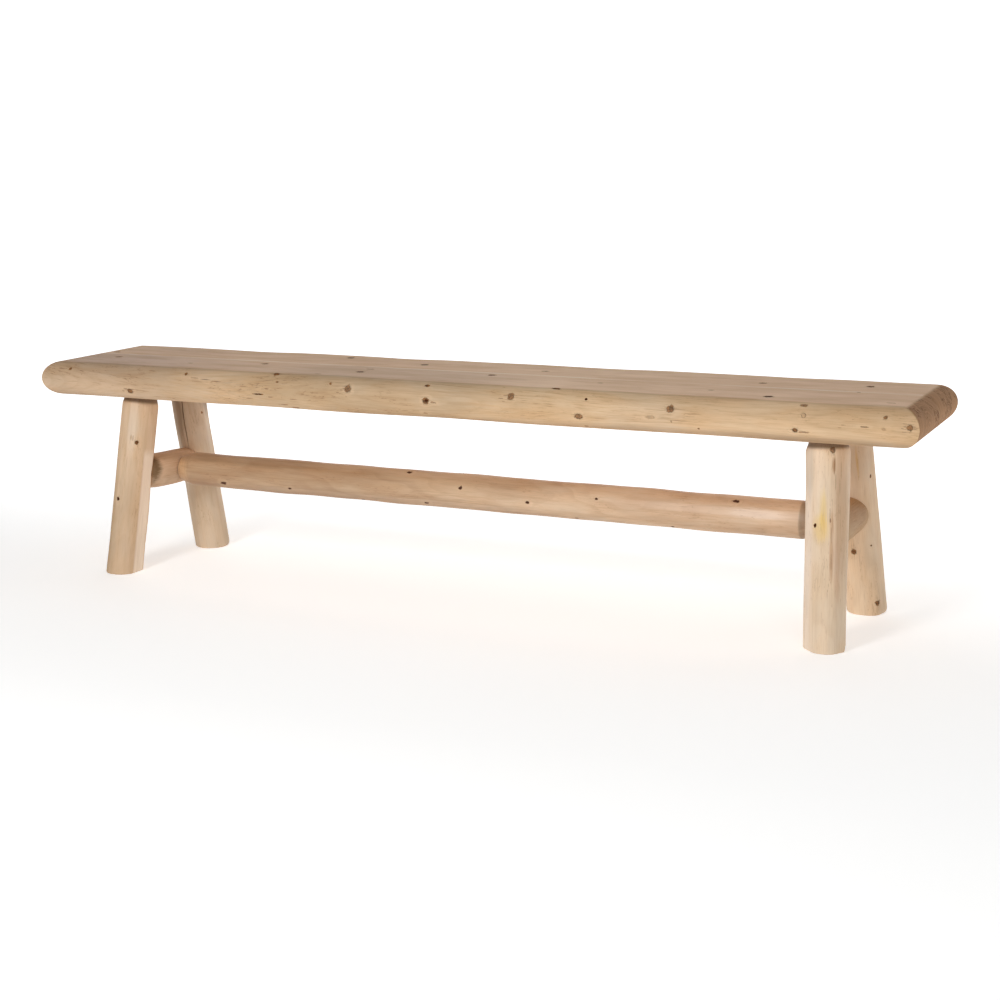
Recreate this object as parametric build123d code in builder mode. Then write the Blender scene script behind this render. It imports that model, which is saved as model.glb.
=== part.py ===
"""Rustic log bench: two planed seat logs on two splayed log trestles joined by one long stretcher log.

Millimetres, +X along the bench, +Y to the back, +Z up, feet on Z = 0.
"""
from build123d import *
import os

# ---- seat ----
SEAT_HEIGHT = 442.0        # floor to the planed top
SEAT_LENGTH = 1830.0       # over both rounded ends
SEAT_THICKNESS = 70.0      # between the planed top and the planed underside
SEAT_LOG_WIDTH = 168.0     # one seat log, seam face to the outermost line of its round side
SEAT_SIDE_ROUND = 30.0     # how far the round side stands past the planed faces
SEAT_END_ROUND = 35.0      # how far the rounded end stands past the planed faces
SEAT_CENTRE_Y = -5.77      # seam line, from the middle of the stance
SEAM_EASE = 1.6            # small bevel along both faces of the seam

# ---- hidden dowels between the seat logs ----
DOWEL_DIAMETER = 12.0
DOWEL_LENGTH = 80.0
DOWEL_PITCH = 320.0
DOWEL_COUNT = 6

# ---- legs: peeled logs ----
LEFT_OVERHANG = 187.5      # end of the seat past the middle of the left leg tops
RIGHT_OVERHANG = 175.5
LEG_TOP_OFFSET = 4.0       # leg top centre, from the middle of its seat log toward the seam
LEG_NECK_LENGTH = 22.0     # tapered neck under the seat, along the leg
LEG_NECK_DIAMETER = 61.0   # neck where it meets the seat
LEG_TENON_DIAMETER = 50.0
LEG_TENON_LENGTH = 38.0
FOOT_EASE = 2.5
# each leg: log diameter, foot past its top toward the near end of the bench, foot past its top to the front or back
FRONT_LEFT_DIAMETER, FRONT_LEFT_LEAN, FRONT_LEFT_SPLAY = 74.8, 24.8, 58.8
REAR_LEFT_DIAMETER, REAR_LEFT_LEAN, REAR_LEFT_SPLAY = 74.3, -16.4, 48.6
FRONT_RIGHT_DIAMETER, FRONT_RIGHT_LEAN, FRONT_RIGHT_SPLAY = 78.4, 15.8, 37.8
REAR_RIGHT_DIAMETER, REAR_RIGHT_LEAN, REAR_RIGHT_SPLAY = 74.3, 25.9, 70.5

# ---- cross logs: front leg to rear leg of each trestle ----
CROSS_HEIGHT = 200.0       # log centre above the floor
CROSS_DIAMETER = 73.0
LEFT_CROSS_INSET = 13.5    # cross log centre, from the leg centres toward the middle of the bench
RIGHT_CROSS_INSET = 8.5
CROSS_TENON_DIAMETER = 30.0
CROSS_TENON_REACH = 6.0    # how far the tenon runs past the middle of the leg
CROSS_FLAT_DEPTH = 3.5     # flat seat for the stretcher's shoulder
CROSS_FLAT_MARGIN = 4.0    # flat seat, past each side of the shoulder

# ---- stretcher: left cross log to right cross log ----
STRETCHER_HEIGHT = 201.5
STRETCHER_DIAMETER = 71.0
STRETCHER_NECK_LENGTH = 30.0
STRETCHER_NECK_DIAMETER = 56.0
STRETCHER_TENON_DIAMETER = 38.0
STRETCHER_TENON_LENGTH = 34.0

# ---- clearances ----
FIT = 0.1                  # all round each tenon, dowel and saddle
END_GAP = 1.5              # past the end of each blind tenon and dowel
TENON_EASE = 1.5           # bevel on the tenon ends

UNDERSIDE = SEAT_HEIGHT - SEAT_THICKNESS
SEAT_MIDDLE = SEAT_HEIGHT - SEAT_THICKNESS / 2
SEAT_FLAT = SEAT_LOG_WIDTH - SEAT_SIDE_ROUND
LEG_TOP_Y = SEAT_LOG_WIDTH / 2 - LEG_TOP_OFFSET

os.makedirs("parts", exist_ok=True)


class Log:
    """Centre line of a round log from start to end, with its radius."""

    def __init__(self, start, end, radius):
        self.start, self.end, self.radius = Vector(*start), Vector(*end), radius
        self.length = (self.end - self.start).length
        self.way = (self.end - self.start).normalized()

    def at(self, distance):
        """Point on the centre line."""
        return self.start + self.way * distance

    def at_height(self, z):
        """Point on the centre line at a height above the floor."""
        return self.at((z - self.start.Z) / self.way.Z)

    def across(self, distance):
        """Plane square to the log, its normal pointing to the end."""
        return Plane(origin=self.at(distance), z_dir=self.way)

    def along(self):
        """Plane through the centre line: local x is the radius, local y runs along the log."""
        square = self.across(0)
        return Plane(origin=self.start, x_dir=square.x_dir, z_dir=-square.y_dir)


def leg_log(end, side, overhang, diameter, lean, splay):
    """Centre line of a leg from the floor to the underside of the seat. end and side are -1 or 1."""
    top = (end * (SEAT_LENGTH / 2 - overhang), SEAT_CENTRE_Y + side * LEG_TOP_Y, UNDERSIDE)
    foot = (top[0] + end * lean, top[1] + side * splay, 0)
    return Log(foot, top, diameter / 2)


def cross_log(front_leg, rear_leg, inset):
    """Centre line of a cross log between two legs."""
    front, rear = front_leg.at_height(CROSS_HEIGHT), rear_leg.at_height(CROSS_HEIGHT)
    return Log((front.X + inset, front.Y, front.Z), (rear.X + inset, rear.Y, rear.Z), CROSS_DIAMETER / 2)


def cross_tenon(cross, at_front, play, gap):
    """Centre line of the tenon that a cross log sends into the front or the rear leg."""
    middle = cross.at(cross.length / 2)
    tip = cross.at(-CROSS_TENON_REACH - gap) if at_front else cross.at(cross.length + CROSS_TENON_REACH + gap)
    return Log(middle, tip, CROSS_TENON_DIAMETER / 2 + play)


legs = {
    "leg_front_left": leg_log(-1, -1, LEFT_OVERHANG, FRONT_LEFT_DIAMETER, FRONT_LEFT_LEAN, FRONT_LEFT_SPLAY),
    "leg_rear_left": leg_log(-1, 1, LEFT_OVERHANG, REAR_LEFT_DIAMETER, REAR_LEFT_LEAN, REAR_LEFT_SPLAY),
    "leg_front_right": leg_log(1, -1, RIGHT_OVERHANG, FRONT_RIGHT_DIAMETER, FRONT_RIGHT_LEAN, FRONT_RIGHT_SPLAY),
    "leg_rear_right": leg_log(1, 1, RIGHT_OVERHANG, REAR_RIGHT_DIAMETER, REAR_RIGHT_LEAN, REAR_RIGHT_SPLAY),
}
left_cross = cross_log(legs["leg_front_left"], legs["leg_rear_left"], LEFT_CROSS_INSET)
right_cross = cross_log(legs["leg_front_right"], legs["leg_rear_right"], -RIGHT_CROSS_INSET)


def side_view(z):
    """Upright plane along the seam, seen from the front, its origin at a height."""
    return Plane(origin=(0, SEAT_CENTRE_Y, z), x_dir=(1, 0, 0), z_dir=(0, -1, 0))


def end_view(x, z):
    """Upright plane square to the bench, its origin on the seam line at a height."""
    return Plane(origin=(x, SEAT_CENTRE_Y, z), x_dir=(0, 1, 0), z_dir=(1, 0, 0))


def x_at_stretcher(cross):
    """Where a cross log's centre line passes the stretcher's centre line."""
    return cross.at((SEAT_CENTRE_Y - cross.start.Y) / cross.way.Y).X


SEAT_TO_FLAT = CROSS_DIAMETER / 2 - CROSS_FLAT_DEPTH
LEFT_SHOULDER_X = x_at_stretcher(left_cross) + SEAT_TO_FLAT
RIGHT_SHOULDER_X = x_at_stretcher(right_cross) - SEAT_TO_FLAT

# ---- legs: round log, tapered neck under the seat, round tenon, mortise for the cross log ----
for name, axis in legs.items():
    cross = left_cross if "left" in name else right_cross
    neck_start = axis.length - LEG_NECK_LENGTH
    neck_slope = (axis.radius - LEG_NECK_DIAMETER / 2) / LEG_NECK_LENGTH
    spare = axis.radius
    with BuildPart() as leg:
        with BuildSketch(axis.along()):
            with BuildLine():
                Polyline(
                    (0, -spare), (axis.radius, -spare), (axis.radius, neck_start),
                    (LEG_NECK_DIAMETER / 2 - neck_slope * spare / 2, axis.length + spare / 2),
                    (0, axis.length + spare / 2), close=True)
            make_face()
        revolve(axis=Axis(axis.start, axis.way))
        split(bisect_by=Plane.XY.offset(UNDERSIDE), keep=Keep.BOTTOM)
        split(bisect_by=Plane.XY, keep=Keep.TOP)
        chamfer(leg.edges().group_by(Axis.Z)[0], FOOT_EASE)
        with BuildSketch(axis.across(neck_start)):
            Circle(LEG_TENON_DIAMETER / 2)
        extrude(amount=LEG_NECK_LENGTH + LEG_TENON_LENGTH)
        chamfer(leg.faces().sort_by(Axis.Z)[-1].edges(), TENON_EASE)
        tenon = cross_tenon(cross, "front" in name, FIT, END_GAP)
        with BuildSketch(tenon.across(0)):
            Circle(tenon.radius)
        extrude(amount=tenon.length, mode=Mode.SUBTRACT)
    leg.part.label = name
    export_step(leg.part, f"parts/{name}.step")

# ---- seat logs: planed flat, round outer side, rounded ends, blind mortises and dowel holes ----
dowel_spots = [(DOWEL_PITCH * (i - (DOWEL_COUNT - 1) / 2), 0) for i in range(DOWEL_COUNT)]
END_FLAT = SEAT_LENGTH / 2 - SEAT_END_ROUND
for name, side in (("seat_front_log", -1), ("seat_rear_log", 1)):
    ease, low, high = side * SEAM_EASE, -SEAT_THICKNESS / 2, SEAT_THICKNESS / 2
    with BuildPart() as seat:
        # section across the log, drawn from the seam outward
        with BuildSketch(end_view(0, SEAT_MIDDLE)):
            with BuildLine():
                Polyline(
                    (side * SEAT_FLAT, low), (ease, low), (0, low + SEAM_EASE), (0, high - SEAM_EASE),
                    (ease, high), (side * SEAT_FLAT, high))
                ThreePointArc((side * SEAT_FLAT, high), (side * SEAT_LOG_WIDTH, 0), (side * SEAT_FLAT, low))
            make_face()
        extrude(amount=SEAT_LENGTH / 2, both=True)
        # both ends rounded in side view
        with BuildSketch(side_view(SEAT_MIDDLE)):
            with BuildLine():
                Line((-END_FLAT, high), (END_FLAT, high))
                ThreePointArc((END_FLAT, high), (SEAT_LENGTH / 2, 0), (END_FLAT, low))
                Line((END_FLAT, low), (-END_FLAT, low))
                ThreePointArc((-END_FLAT, low), (-SEAT_LENGTH / 2, 0), (-END_FLAT, high))
            make_face()
        extrude(amount=2 * SEAT_LOG_WIDTH, both=True, mode=Mode.INTERSECT)
        # blind mortises for the two leg tenons
        for leg_name, axis in legs.items():
            if ("front" in leg_name) == ("front" in name):
                with BuildSketch(axis.across(axis.length - LEG_NECK_LENGTH)):
                    Circle(LEG_TENON_DIAMETER / 2 + FIT)
                extrude(amount=LEG_NECK_LENGTH + LEG_TENON_LENGTH + END_GAP, mode=Mode.SUBTRACT)
        # dowel holes in the seam face
        with BuildSketch(side_view(SEAT_MIDDLE)):
            with Locations(*dowel_spots):
                Circle(DOWEL_DIAMETER / 2 + FIT)
        extrude(amount=-side * (DOWEL_LENGTH / 2 + END_GAP), mode=Mode.SUBTRACT)
    seat.part.label = name
    export_step(seat.part, f"parts/{name}.step")

# ---- seat dowels ----
with BuildPart() as seat_dowels:
    with BuildSketch(side_view(SEAT_MIDDLE)):
        with Locations(*dowel_spots):
            Circle(DOWEL_DIAMETER / 2)
    extrude(amount=DOWEL_LENGTH / 2, both=True)
seat_dowels.part.label = "seat_dowels"
export_step(seat_dowels.part, "parts/seat_dowels.step")

# ---- cross logs: ends coped to the round legs, stub tenons, flat seat and mortise for the stretcher ----
for name, cross, front, rear, shoulder_x, inward in (
        ("cross_log_left", left_cross, "leg_front_left", "leg_rear_left", LEFT_SHOULDER_X, 1),
        ("cross_log_right", right_cross, "leg_front_right", "leg_rear_right", RIGHT_SHOULDER_X, -1)):
    with BuildPart() as log:
        with BuildSketch(cross.across(0)):
            Circle(cross.radius)
        extrude(amount=cross.length)
        # saddles: each leg's own round, less the fit
        for leg_name in (front, rear):
            axis = legs[leg_name]
            with BuildSketch(axis.across(0)):
                Circle(axis.radius + FIT)
            extrude(amount=axis.length, mode=Mode.SUBTRACT)
        # flat seat under the stretcher's shoulder
        with BuildSketch(end_view(shoulder_x, STRETCHER_HEIGHT)):
            Rectangle(STRETCHER_NECK_DIAMETER + 2 * CROSS_FLAT_MARGIN, 2 * CROSS_DIAMETER)
        extrude(amount=inward * CROSS_DIAMETER, mode=Mode.SUBTRACT)
        # mortise for the stretcher's tenon
        with BuildSketch(end_view(shoulder_x, STRETCHER_HEIGHT)):
            Circle(STRETCHER_TENON_DIAMETER / 2 + FIT)
        extrude(amount=-inward * (STRETCHER_TENON_LENGTH + END_GAP), mode=Mode.SUBTRACT)
        # stub tenons into both legs
        for at_front in (True, False):
            tenon = cross_tenon(cross, at_front, 0, 0)
            with BuildSketch(tenon.across(tenon.length / 2)):
                Circle(tenon.radius)
            extrude(amount=tenon.length / 2)
    log.part.label = name
    export_step(log.part, f"parts/{name}.step")

# ---- stretcher: straight log with a turned neck and a round tenon at each end ----
with BuildPart() as stretcher_log:
    body, neck, tenon_r = STRETCHER_DIAMETER / 2, STRETCHER_NECK_DIAMETER / 2, STRETCHER_TENON_DIAMETER / 2
    left, right = LEFT_SHOULDER_X, RIGHT_SHOULDER_X
    left_tip, right_tip = left - STRETCHER_TENON_LENGTH, right + STRETCHER_TENON_LENGTH
    with BuildSketch(side_view(STRETCHER_HEIGHT)):
        with BuildLine():
            Polyline(
                (left_tip, 0), (left_tip, tenon_r - TENON_EASE), (left_tip + TENON_EASE, tenon_r),
                (left, tenon_r), (left, neck), (left + STRETCHER_NECK_LENGTH, body),
                (right - STRETCHER_NECK_LENGTH, body), (right, neck), (right, tenon_r),
                (right_tip - TENON_EASE, tenon_r), (right_tip, tenon_r - TENON_EASE), (right_tip, 0),
                close=True)
        make_face()
    revolve(axis=Axis((0, SEAT_CENTRE_Y, STRETCHER_HEIGHT), (1, 0, 0)))
stretcher_log.part.label = "stretcher_log"
export_step(stretcher_log.part, "parts/stretcher_log.step")
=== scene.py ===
"""Rustic log bench, dressed: two planed seat logs on peeled cedar legs, cross logs and one long stretcher log.

Lengths in the tables are millimetres in the part's own frame. Meshes are in metres.
"""
from math import radians

import bmesh
import bpy
import numpy as np
from mathutils import Matrix, Vector


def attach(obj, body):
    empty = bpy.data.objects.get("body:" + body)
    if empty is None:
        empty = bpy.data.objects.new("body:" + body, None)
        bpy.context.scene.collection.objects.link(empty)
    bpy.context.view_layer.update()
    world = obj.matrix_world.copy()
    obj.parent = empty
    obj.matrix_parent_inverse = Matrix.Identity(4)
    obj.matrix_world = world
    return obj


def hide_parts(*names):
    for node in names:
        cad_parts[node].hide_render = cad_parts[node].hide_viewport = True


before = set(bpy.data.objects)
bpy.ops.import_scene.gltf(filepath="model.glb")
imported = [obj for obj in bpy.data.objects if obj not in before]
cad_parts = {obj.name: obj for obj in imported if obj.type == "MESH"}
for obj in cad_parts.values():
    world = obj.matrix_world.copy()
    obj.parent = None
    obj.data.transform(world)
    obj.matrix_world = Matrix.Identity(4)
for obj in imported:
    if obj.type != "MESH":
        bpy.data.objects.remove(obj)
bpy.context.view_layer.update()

MM = 0.001
SEAT_UNDERSIDE, SEAT_MIDDLE = 372.0, 407.0
SEAM_Y = -5.77
HALF_THICK = 35.0          # seat middle to the planed faces
END_FLAT = 880.0           # middle of the bench to where the end round starts
END_TIP = 914.98           # middle of the bench to the tip of the end round
ROUND_CENTRE = 132.6       # seam to the middle of the side round
SIDE_RADIUS = 35.75        # side round, before its unevenness
SIDE_SCALE = 35.4          # mm down the side round for each radian, in the knots' table
TOP_LINE = radians(81.3)   # angle of the side round's top line, where that table starts
SEAM_EASE = 1.6
HALF_DEEP = 182.0          # middle of the bench to the outermost skin, front or rear
CHECK_DEEP = 4.5           # root of the drying check below the skin
NECK_RADIUS, NECK_LONG = 30.5, 22.0      # leg's neck at the end of the log, and how far below it the cone starts
LEG_TENON_RADIUS, LEG_TENON = 25.0, 38.0            # leg's tenon, and how far its tip is past the end of the log
PITH_WANDER = 1.6          # how far a round log's pith strays from its centre line
CROSS_RADIUS = 36.5
COPE_GAP = 0.12            # from a leg's skin to the cope of a cross log
STUB_RADIUS, STUB_LONG = 15.0, 6.0                  # cross log's tenon
SHOULDER_WEST, SHOULDER_EAST = -682.73, 707.48      # stretcher's square shoulders along X
SHOULDER_FLAT = 32.0       # half the width of the flat on a cross log that the shoulder sits on
STRETCHER_RADIUS, SHOULDER_RADIUS, SHOULDER_SLOPE = 35.5, 28.0, 0.25
STRETCHER_TENON_RADIUS, STRETCHER_TENON = 19.0, 34.0
TIP_CHAMFER = 1.5          # on the tip of every tenon
KNOT_REACH = 17.0          # a knot's marks end this far from it, so two in one layer lie twice as far apart or more


def place_in_scene(name, data):
    """New object at the origin that shows a mesh, lamp or camera."""
    thing = bpy.data.objects.new(name, data)
    bpy.context.scene.collection.objects.link(thing)
    return thing


# ---------------------------------------------------------------- shapes worked out as whole arrays

def smooth(low, high, x):
    """Eased step: 0 below low, 1 above high, the cubic 3t^2 - 2t^3 between."""
    t = np.clip((np.asarray(x, float) - low) / (high - low), 0, 1)
    return t * t * (3 - 2 * t)


def soft_min(a, b, blend):
    """The smaller of two lengths, rounded over where they meet: -blend log(exp(-a/blend) + exp(-b/blend))."""
    return -blend * np.logaddexp(-a / blend, -b / blend)


def uneven(seed, along, turn, size, longest, shortest, lobes=5, count=16):
    """Hand-peeled unevenness: a sum of cosine waves, each with its own length along the log and a whole number of
    lobes around it, so that it closes on itself. Lengths, lobes and phases come from the seed."""
    dice = np.random.default_rng(seed)
    total = 0.0
    for _ in range(count):
        length = dice.uniform(shortest, longest) * dice.choice((-1, 1))
        total = total + np.cos(2 * np.pi * along / length + dice.integers(0, lobes + 1) * turn
                               + dice.uniform(0, 2 * np.pi))
    return size * total * np.sqrt(2 / count)


class Log:
    """A peeled log. A place on it is `along`, mm from its start, and `turn`, radians round its centre line from the
    side that faces `face`. The line is straight, or bowed toward that side by bow (1 - (2 share - 1)^2)."""

    def __init__(self, start, end, radii, face, seed, waver=0.5, flats=(), check=None, bow=0.0):
        self.start, self.end = np.array(start, float), np.array(end, float)
        self.length = float(np.linalg.norm(self.end - self.start))
        self.way = (self.end - self.start) / self.length
        face = np.array(face, float)
        face -= self.way * (face @ self.way)
        self.face = face / np.linalg.norm(face)
        self.side = np.cross(self.way, self.face)
        self.radii, self.seed, self.waver, self.flats = radii, seed, waver, flats
        self.neck, self.check, self.bow = None, check, bow

    def bent(self, along):
        """How far the centre line is bowed toward the facing side."""
        return self.bow * (1 - (2 * np.clip(along / self.length, 0, 1) - 1) ** 2)

    def round(self, along, turn):
        """Radius before any knife work: a straight taper plus unevenness."""
        share = along / self.length
        return self.radii[0] + (self.radii[1] - self.radii[0]) * share + uneven(
            self.seed, along, turn, self.waver, 420, 120)

    def skin(self, along, turn):
        """Radius of the finished skin: the round log cut by its drawknife flats (a flat is distance / cos(turn - its
        own turn)), then by its neck cone, then by its drying check, a narrow V."""
        r = self.round(along, turn)
        base = (self.radii[0] + self.radii[1]) / 2
        for at, depth, begin, finish, fade, _ in self.flats:
            held = smooth(begin - fade, begin + fade, along) * (1 - smooth(finish - fade, finish + fade, along))
            away = np.cos(turn - radians(at))
            r = np.where(away > 0.2, soft_min(r, (base + 1.5 - (depth + 1.5) * held) / np.maximum(away, 0.2), 0.35), r)
        if self.neck:
            width, length, slope = self.neck
            r = soft_min(r, width + (length - along) * slope, 0.5)
        if self.check:
            r = r - CHECK_DEEP * self.split(along, turn)
        return r

    def pale(self, along, turn):
        """Paleness of the knife cuts: each flat's own share wherever it lies below the round skin. On the front left
        leg's wide flat it is paler cut wood and a painted sheen together.
        """
        total = np.zeros(np.broadcast(along, turn).shape)
        for at, depth, begin, finish, fade, share in self.flats:
            half = np.arccos((self.radii[0] - depth) / self.radii[0])
            off = np.abs((turn - radians(at) + np.pi) % (2 * np.pi) - np.pi)
            held = smooth(begin - fade, begin + fade, along) * (1 - smooth(finish - fade, finish + fade, along))
            total = np.maximum(total, share * held * (1 - smooth(half - 0.10, half + 0.06, off)))
        return total

    def check_turn(self, along):
        """Turn of the drying check at each place along the log: a straight drift plus a small waver."""
        low, high, turn_low, turn_high = self.check
        t = (along - low) / (high - low)
        return np.radians(turn_low + (turn_high - turn_low) * t + 1.1 * np.sin(9 * t))

    def split(self, along, turn):
        """Depth share of the drying check, 1 at its root, 0 outside. It closes toward its lower end."""
        low, high = self.check[:2]
        half = 1.05 * smooth(low, low + 55, along) + 0.001
        off = np.abs((turn - self.check_turn(along) + np.pi) % (2 * np.pi) - np.pi) * self.radii[0]
        return np.clip(1 - off / half, 0, 1) * smooth(low, low + 30, along)

    def at(self, along, turn, radius):
        """Point at a radius: start + along way + radius (cos(turn) face + sin(turn) side)."""
        along, turn, radius = np.broadcast_arrays(along, turn, radius)
        spoke = np.cos(turn)[..., None] * self.face + np.sin(turn)[..., None] * self.side
        centre = self.start + along[..., None] * self.way + self.bent(along)[..., None] * self.face
        return centre + radius[..., None] * spoke

    def place(self, points):
        """Along, turn and distance from the centre line of any points."""
        rel = points - self.start
        along = rel @ self.way
        f, s = rel @ self.face - self.bent(along), rel @ self.side
        return along, np.arctan2(s, f), np.hypot(f, s)

    def at_height(self, height, turn, radius_of):
        """Along at which the skin passes a height, by repeating along = (height - spoke height) / way height."""
        along = np.full(turn.shape, (height - self.start[2]) / self.way[2])
        for _ in range(6):
            rise = radius_of(along, turn) * (np.cos(turn) * self.face[2] + np.sin(turn) * self.side[2])
            along = (height - self.start[2] - rise) / self.way[2]
        return along

    def grain(self, points):
        """Place in the wood in metres: along the log and across from its pith, which wanders slowly."""
        rel = points - self.start
        along = rel @ self.way
        f = rel @ self.face - self.bent(along) + uneven(self.seed + 50, along, 0, PITH_WANDER, 900, 300, 0, 5)
        s = rel @ self.side + uneven(self.seed + 51, along, 0, PITH_WANDER, 900, 300, 0, 5)
        return np.stack([along, f, s], -1) * MM


def ring_faces(rows, around):
    """Quads between neighbouring rows of a grid that closes on itself around, as rows of four numbers."""
    i, j = np.meshgrid(np.arange(rows - 1), np.arange(around), indexing="ij")
    k = (j + 1) % around
    return np.stack([i * around + j, i * around + k, (i + 1) * around + k, (i + 1) * around + j], -1).reshape(-1, 4)


def spread(knots):
    """Sorts knots into layers in which all lie more than 36 mm apart, so that the marks of no two meet."""
    layers = []
    for knot in knots:
        for layer in layers:
            if all(np.hypot(knot[0] - k[0], knot[1] - k[1]) > 2 * KNOT_REACH + 2 for k in layer):
                layer.append(knot)
                break
        else:
            layers.append([knot])
    return layers


def build(name, points, faces, data, finish, edge=38, weld=0.02):
    """Mesh from whole arrays in mm, with its surface data as attributes, riding on the bench and standing for the node
    of its own name. Points nearer than the weld are made one, and edges sharper than `edge` degrees stay crisp."""
    mesh = bpy.data.meshes.new(name)
    mesh.from_pydata((points * MM).tolist(), [], [list(map(int, f)) for f in faces])
    for key, values in data.items():
        values = np.asarray(values, float)
        layer = mesh.attributes.new(key, "FLOAT_VECTOR", "POINT")
        layer.data.foreach_set("vector", values.reshape(-1).astype(np.float32))
    work = bmesh.new()
    work.from_mesh(mesh)
    bmesh.ops.remove_doubles(work, verts=work.verts, dist=weld * MM)
    bmesh.ops.dissolve_degenerate(work, edges=work.edges, dist=weld * MM)
    bmesh.ops.recalc_face_normals(work, faces=work.faces)
    work.to_mesh(mesh)
    work.free()
    mesh.shade_smooth()
    mesh.set_sharp_from_angle(angle=radians(edge))
    piece = place_in_scene(name, mesh)
    mesh.materials.append(finish)
    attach(piece, "root")
    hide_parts(name)


def knot_data(layers, count, along, across, scale_across):
    """For each layer, every point's offset from its nearest knot in knot sizes, the knot's presence, which fades out
    from 11 to 17 mm away, and its look: core darkness, rim strength, halo strength."""
    data = {}
    for number in range(count):
        where = np.zeros((along.size, 3))
        look = np.zeros((along.size, 3))
        if number < len(layers):
            table = np.array([k[:7] for k in layers[number]], float)
            da = along.reshape(-1, 1) - table[None, :, 0]
            dw = across.reshape(-1, 1) - table[None, :, 1]
            dw = scale_across(dw)
            far = np.hypot(da, dw)
            near = far.argmin(1)
            pick = np.arange(along.size)
            size, stretch = table[near, 2], table[near, 3]
            where = np.stack([da[pick, near] / (size * stretch), dw[pick, near] / size,
                              1 - smooth(11, KNOT_REACH, far[pick, near])], -1)
            look = table[near][:, 4:7]
        data[f"knots_{number}"] = where
        data[f"knots_{number}_look"] = look
    return data


# ---------------------------------------------------------------- shader maths

class Val:
    """A node socket that takes + - * / as Math nodes."""

    def __init__(self, tree, socket):
        self.tree, self.socket = tree, socket

    def _math(self, operation, *given):
        return self.tree.make("ShaderNodeMath", {"operation": operation}, dict(enumerate(given)))

    def __add__(self, o): return self._math("ADD", self, o)
    def __radd__(self, o): return self._math("ADD", o, self)
    def __sub__(self, o): return self._math("SUBTRACT", self, o)
    def __rsub__(self, o): return self._math("SUBTRACT", o, self)
    def __mul__(self, o): return self._math("MULTIPLY", self, o)
    def __rmul__(self, o): return self._math("MULTIPLY", o, self)
    def __truediv__(self, o): return self._math("DIVIDE", self, o)
    def least(self, o): return self._math("MINIMUM", self, o)
    def most(self, o): return self._math("MAXIMUM", self, o)
    def root(self): return self._math("SQRT", self)
    def fract(self): return self._math("FRACT", self)
    def floor(self): return self._math("FLOOR", self)
    def size(self): return self._math("ABSOLUTE", self)

    def step(self, low, high, to_low=0.0, to_high=1.0):
        """Eased step from to_low at low to to_high at high."""
        return self.tree.make("ShaderNodeMapRange", {"interpolation_type": "SMOOTHSTEP"},
                              {0: self, 1: low, 2: high, 3: to_low, 4: to_high})


class Tree:
    """The nodes of one material."""

    def __init__(self, name):
        self.material = bpy.data.materials.new(name)
        self.material.use_nodes = True
        self.nodes, self.links = self.material.node_tree.nodes, self.material.node_tree.links
        self.nodes.clear()

    def make(self, kind, settings=None, sockets=None, out=0):
        """One node: its settings first, then a value or a link for each socket named. Returns an output."""
        node = self.nodes.new(kind)
        for key, value in (settings or {}).items():
            setattr(node, key, value)
        for key, value in (sockets or {}).items():
            target = node.inputs[key]
            if isinstance(value, Val):
                self.links.new(value.socket, target)
            else:
                target.default_value = value
        return Val(self, node.outputs[out])

    def data(self, name):
        """A vector kept on the mesh."""
        return self.make("ShaderNodeAttribute", {"attribute_name": name}, out="Vector")

    def parts(self, vector):
        """The three numbers of a vector."""
        node = self.nodes.new("ShaderNodeSeparateXYZ")
        self.links.new(vector.socket, node.inputs[0])
        return [Val(self, o) for o in node.outputs]

    def stretch(self, vector, by):
        return self.make("ShaderNodeVectorMath", {"operation": "MULTIPLY"}, {0: vector, 1: by})

    def shift(self, vector, by):
        return self.make("ShaderNodeVectorMath", {"operation": "ADD"}, {0: vector, 1: by})

    def noise(self, vector, scale=1.0, detail=2.0, rough=0.55, warp=0.0):
        """Soft noise from 0 to 1, about even round 0.5."""
        return self.make("ShaderNodeTexNoise", {"noise_dimensions": "3D"},
                         {"Vector": vector, "Scale": scale, "Detail": detail, "Roughness": rough, "Distortion": warp})

    def chance(self, number):
        """One steady random number for each whole number."""
        return self.make("ShaderNodeTexWhiteNoise", {"noise_dimensions": "1D"}, {"W": number})

    def mix(self, share, a, b):
        """Colour a turned into colour b by a share."""
        return self.make("ShaderNodeMix", {"data_type": "RGBA", "blend_type": "MIX"}, {0: share, 6: a, 7: b}, out=2)

    def tint(self, share, a, b):
        """Colour a multiplied by colour b by a share."""
        kind = {"data_type": "RGBA", "blend_type": "MULTIPLY"}
        return self.make("ShaderNodeMix", kind, {0: share, 6: a, 7: b}, out=2)

    def surface(self, sockets):
        """Ends the material in one Principled shader and returns it."""
        shader = self.make("ShaderNodeBsdfPrincipled", None, sockets)
        out = self.nodes.new("ShaderNodeOutputMaterial")
        self.links.new(shader.socket, out.inputs["Surface"])
        return self.material


def paint(red, green, blue):
    """Linear colour from a maker's 0 to 255 swatch."""
    c = np.array([red, green, blue]) / 255
    return (*np.where(c < 0.04045, c / 12.92, ((c + 0.055) / 1.055) ** 2.4), 1.0)


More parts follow.
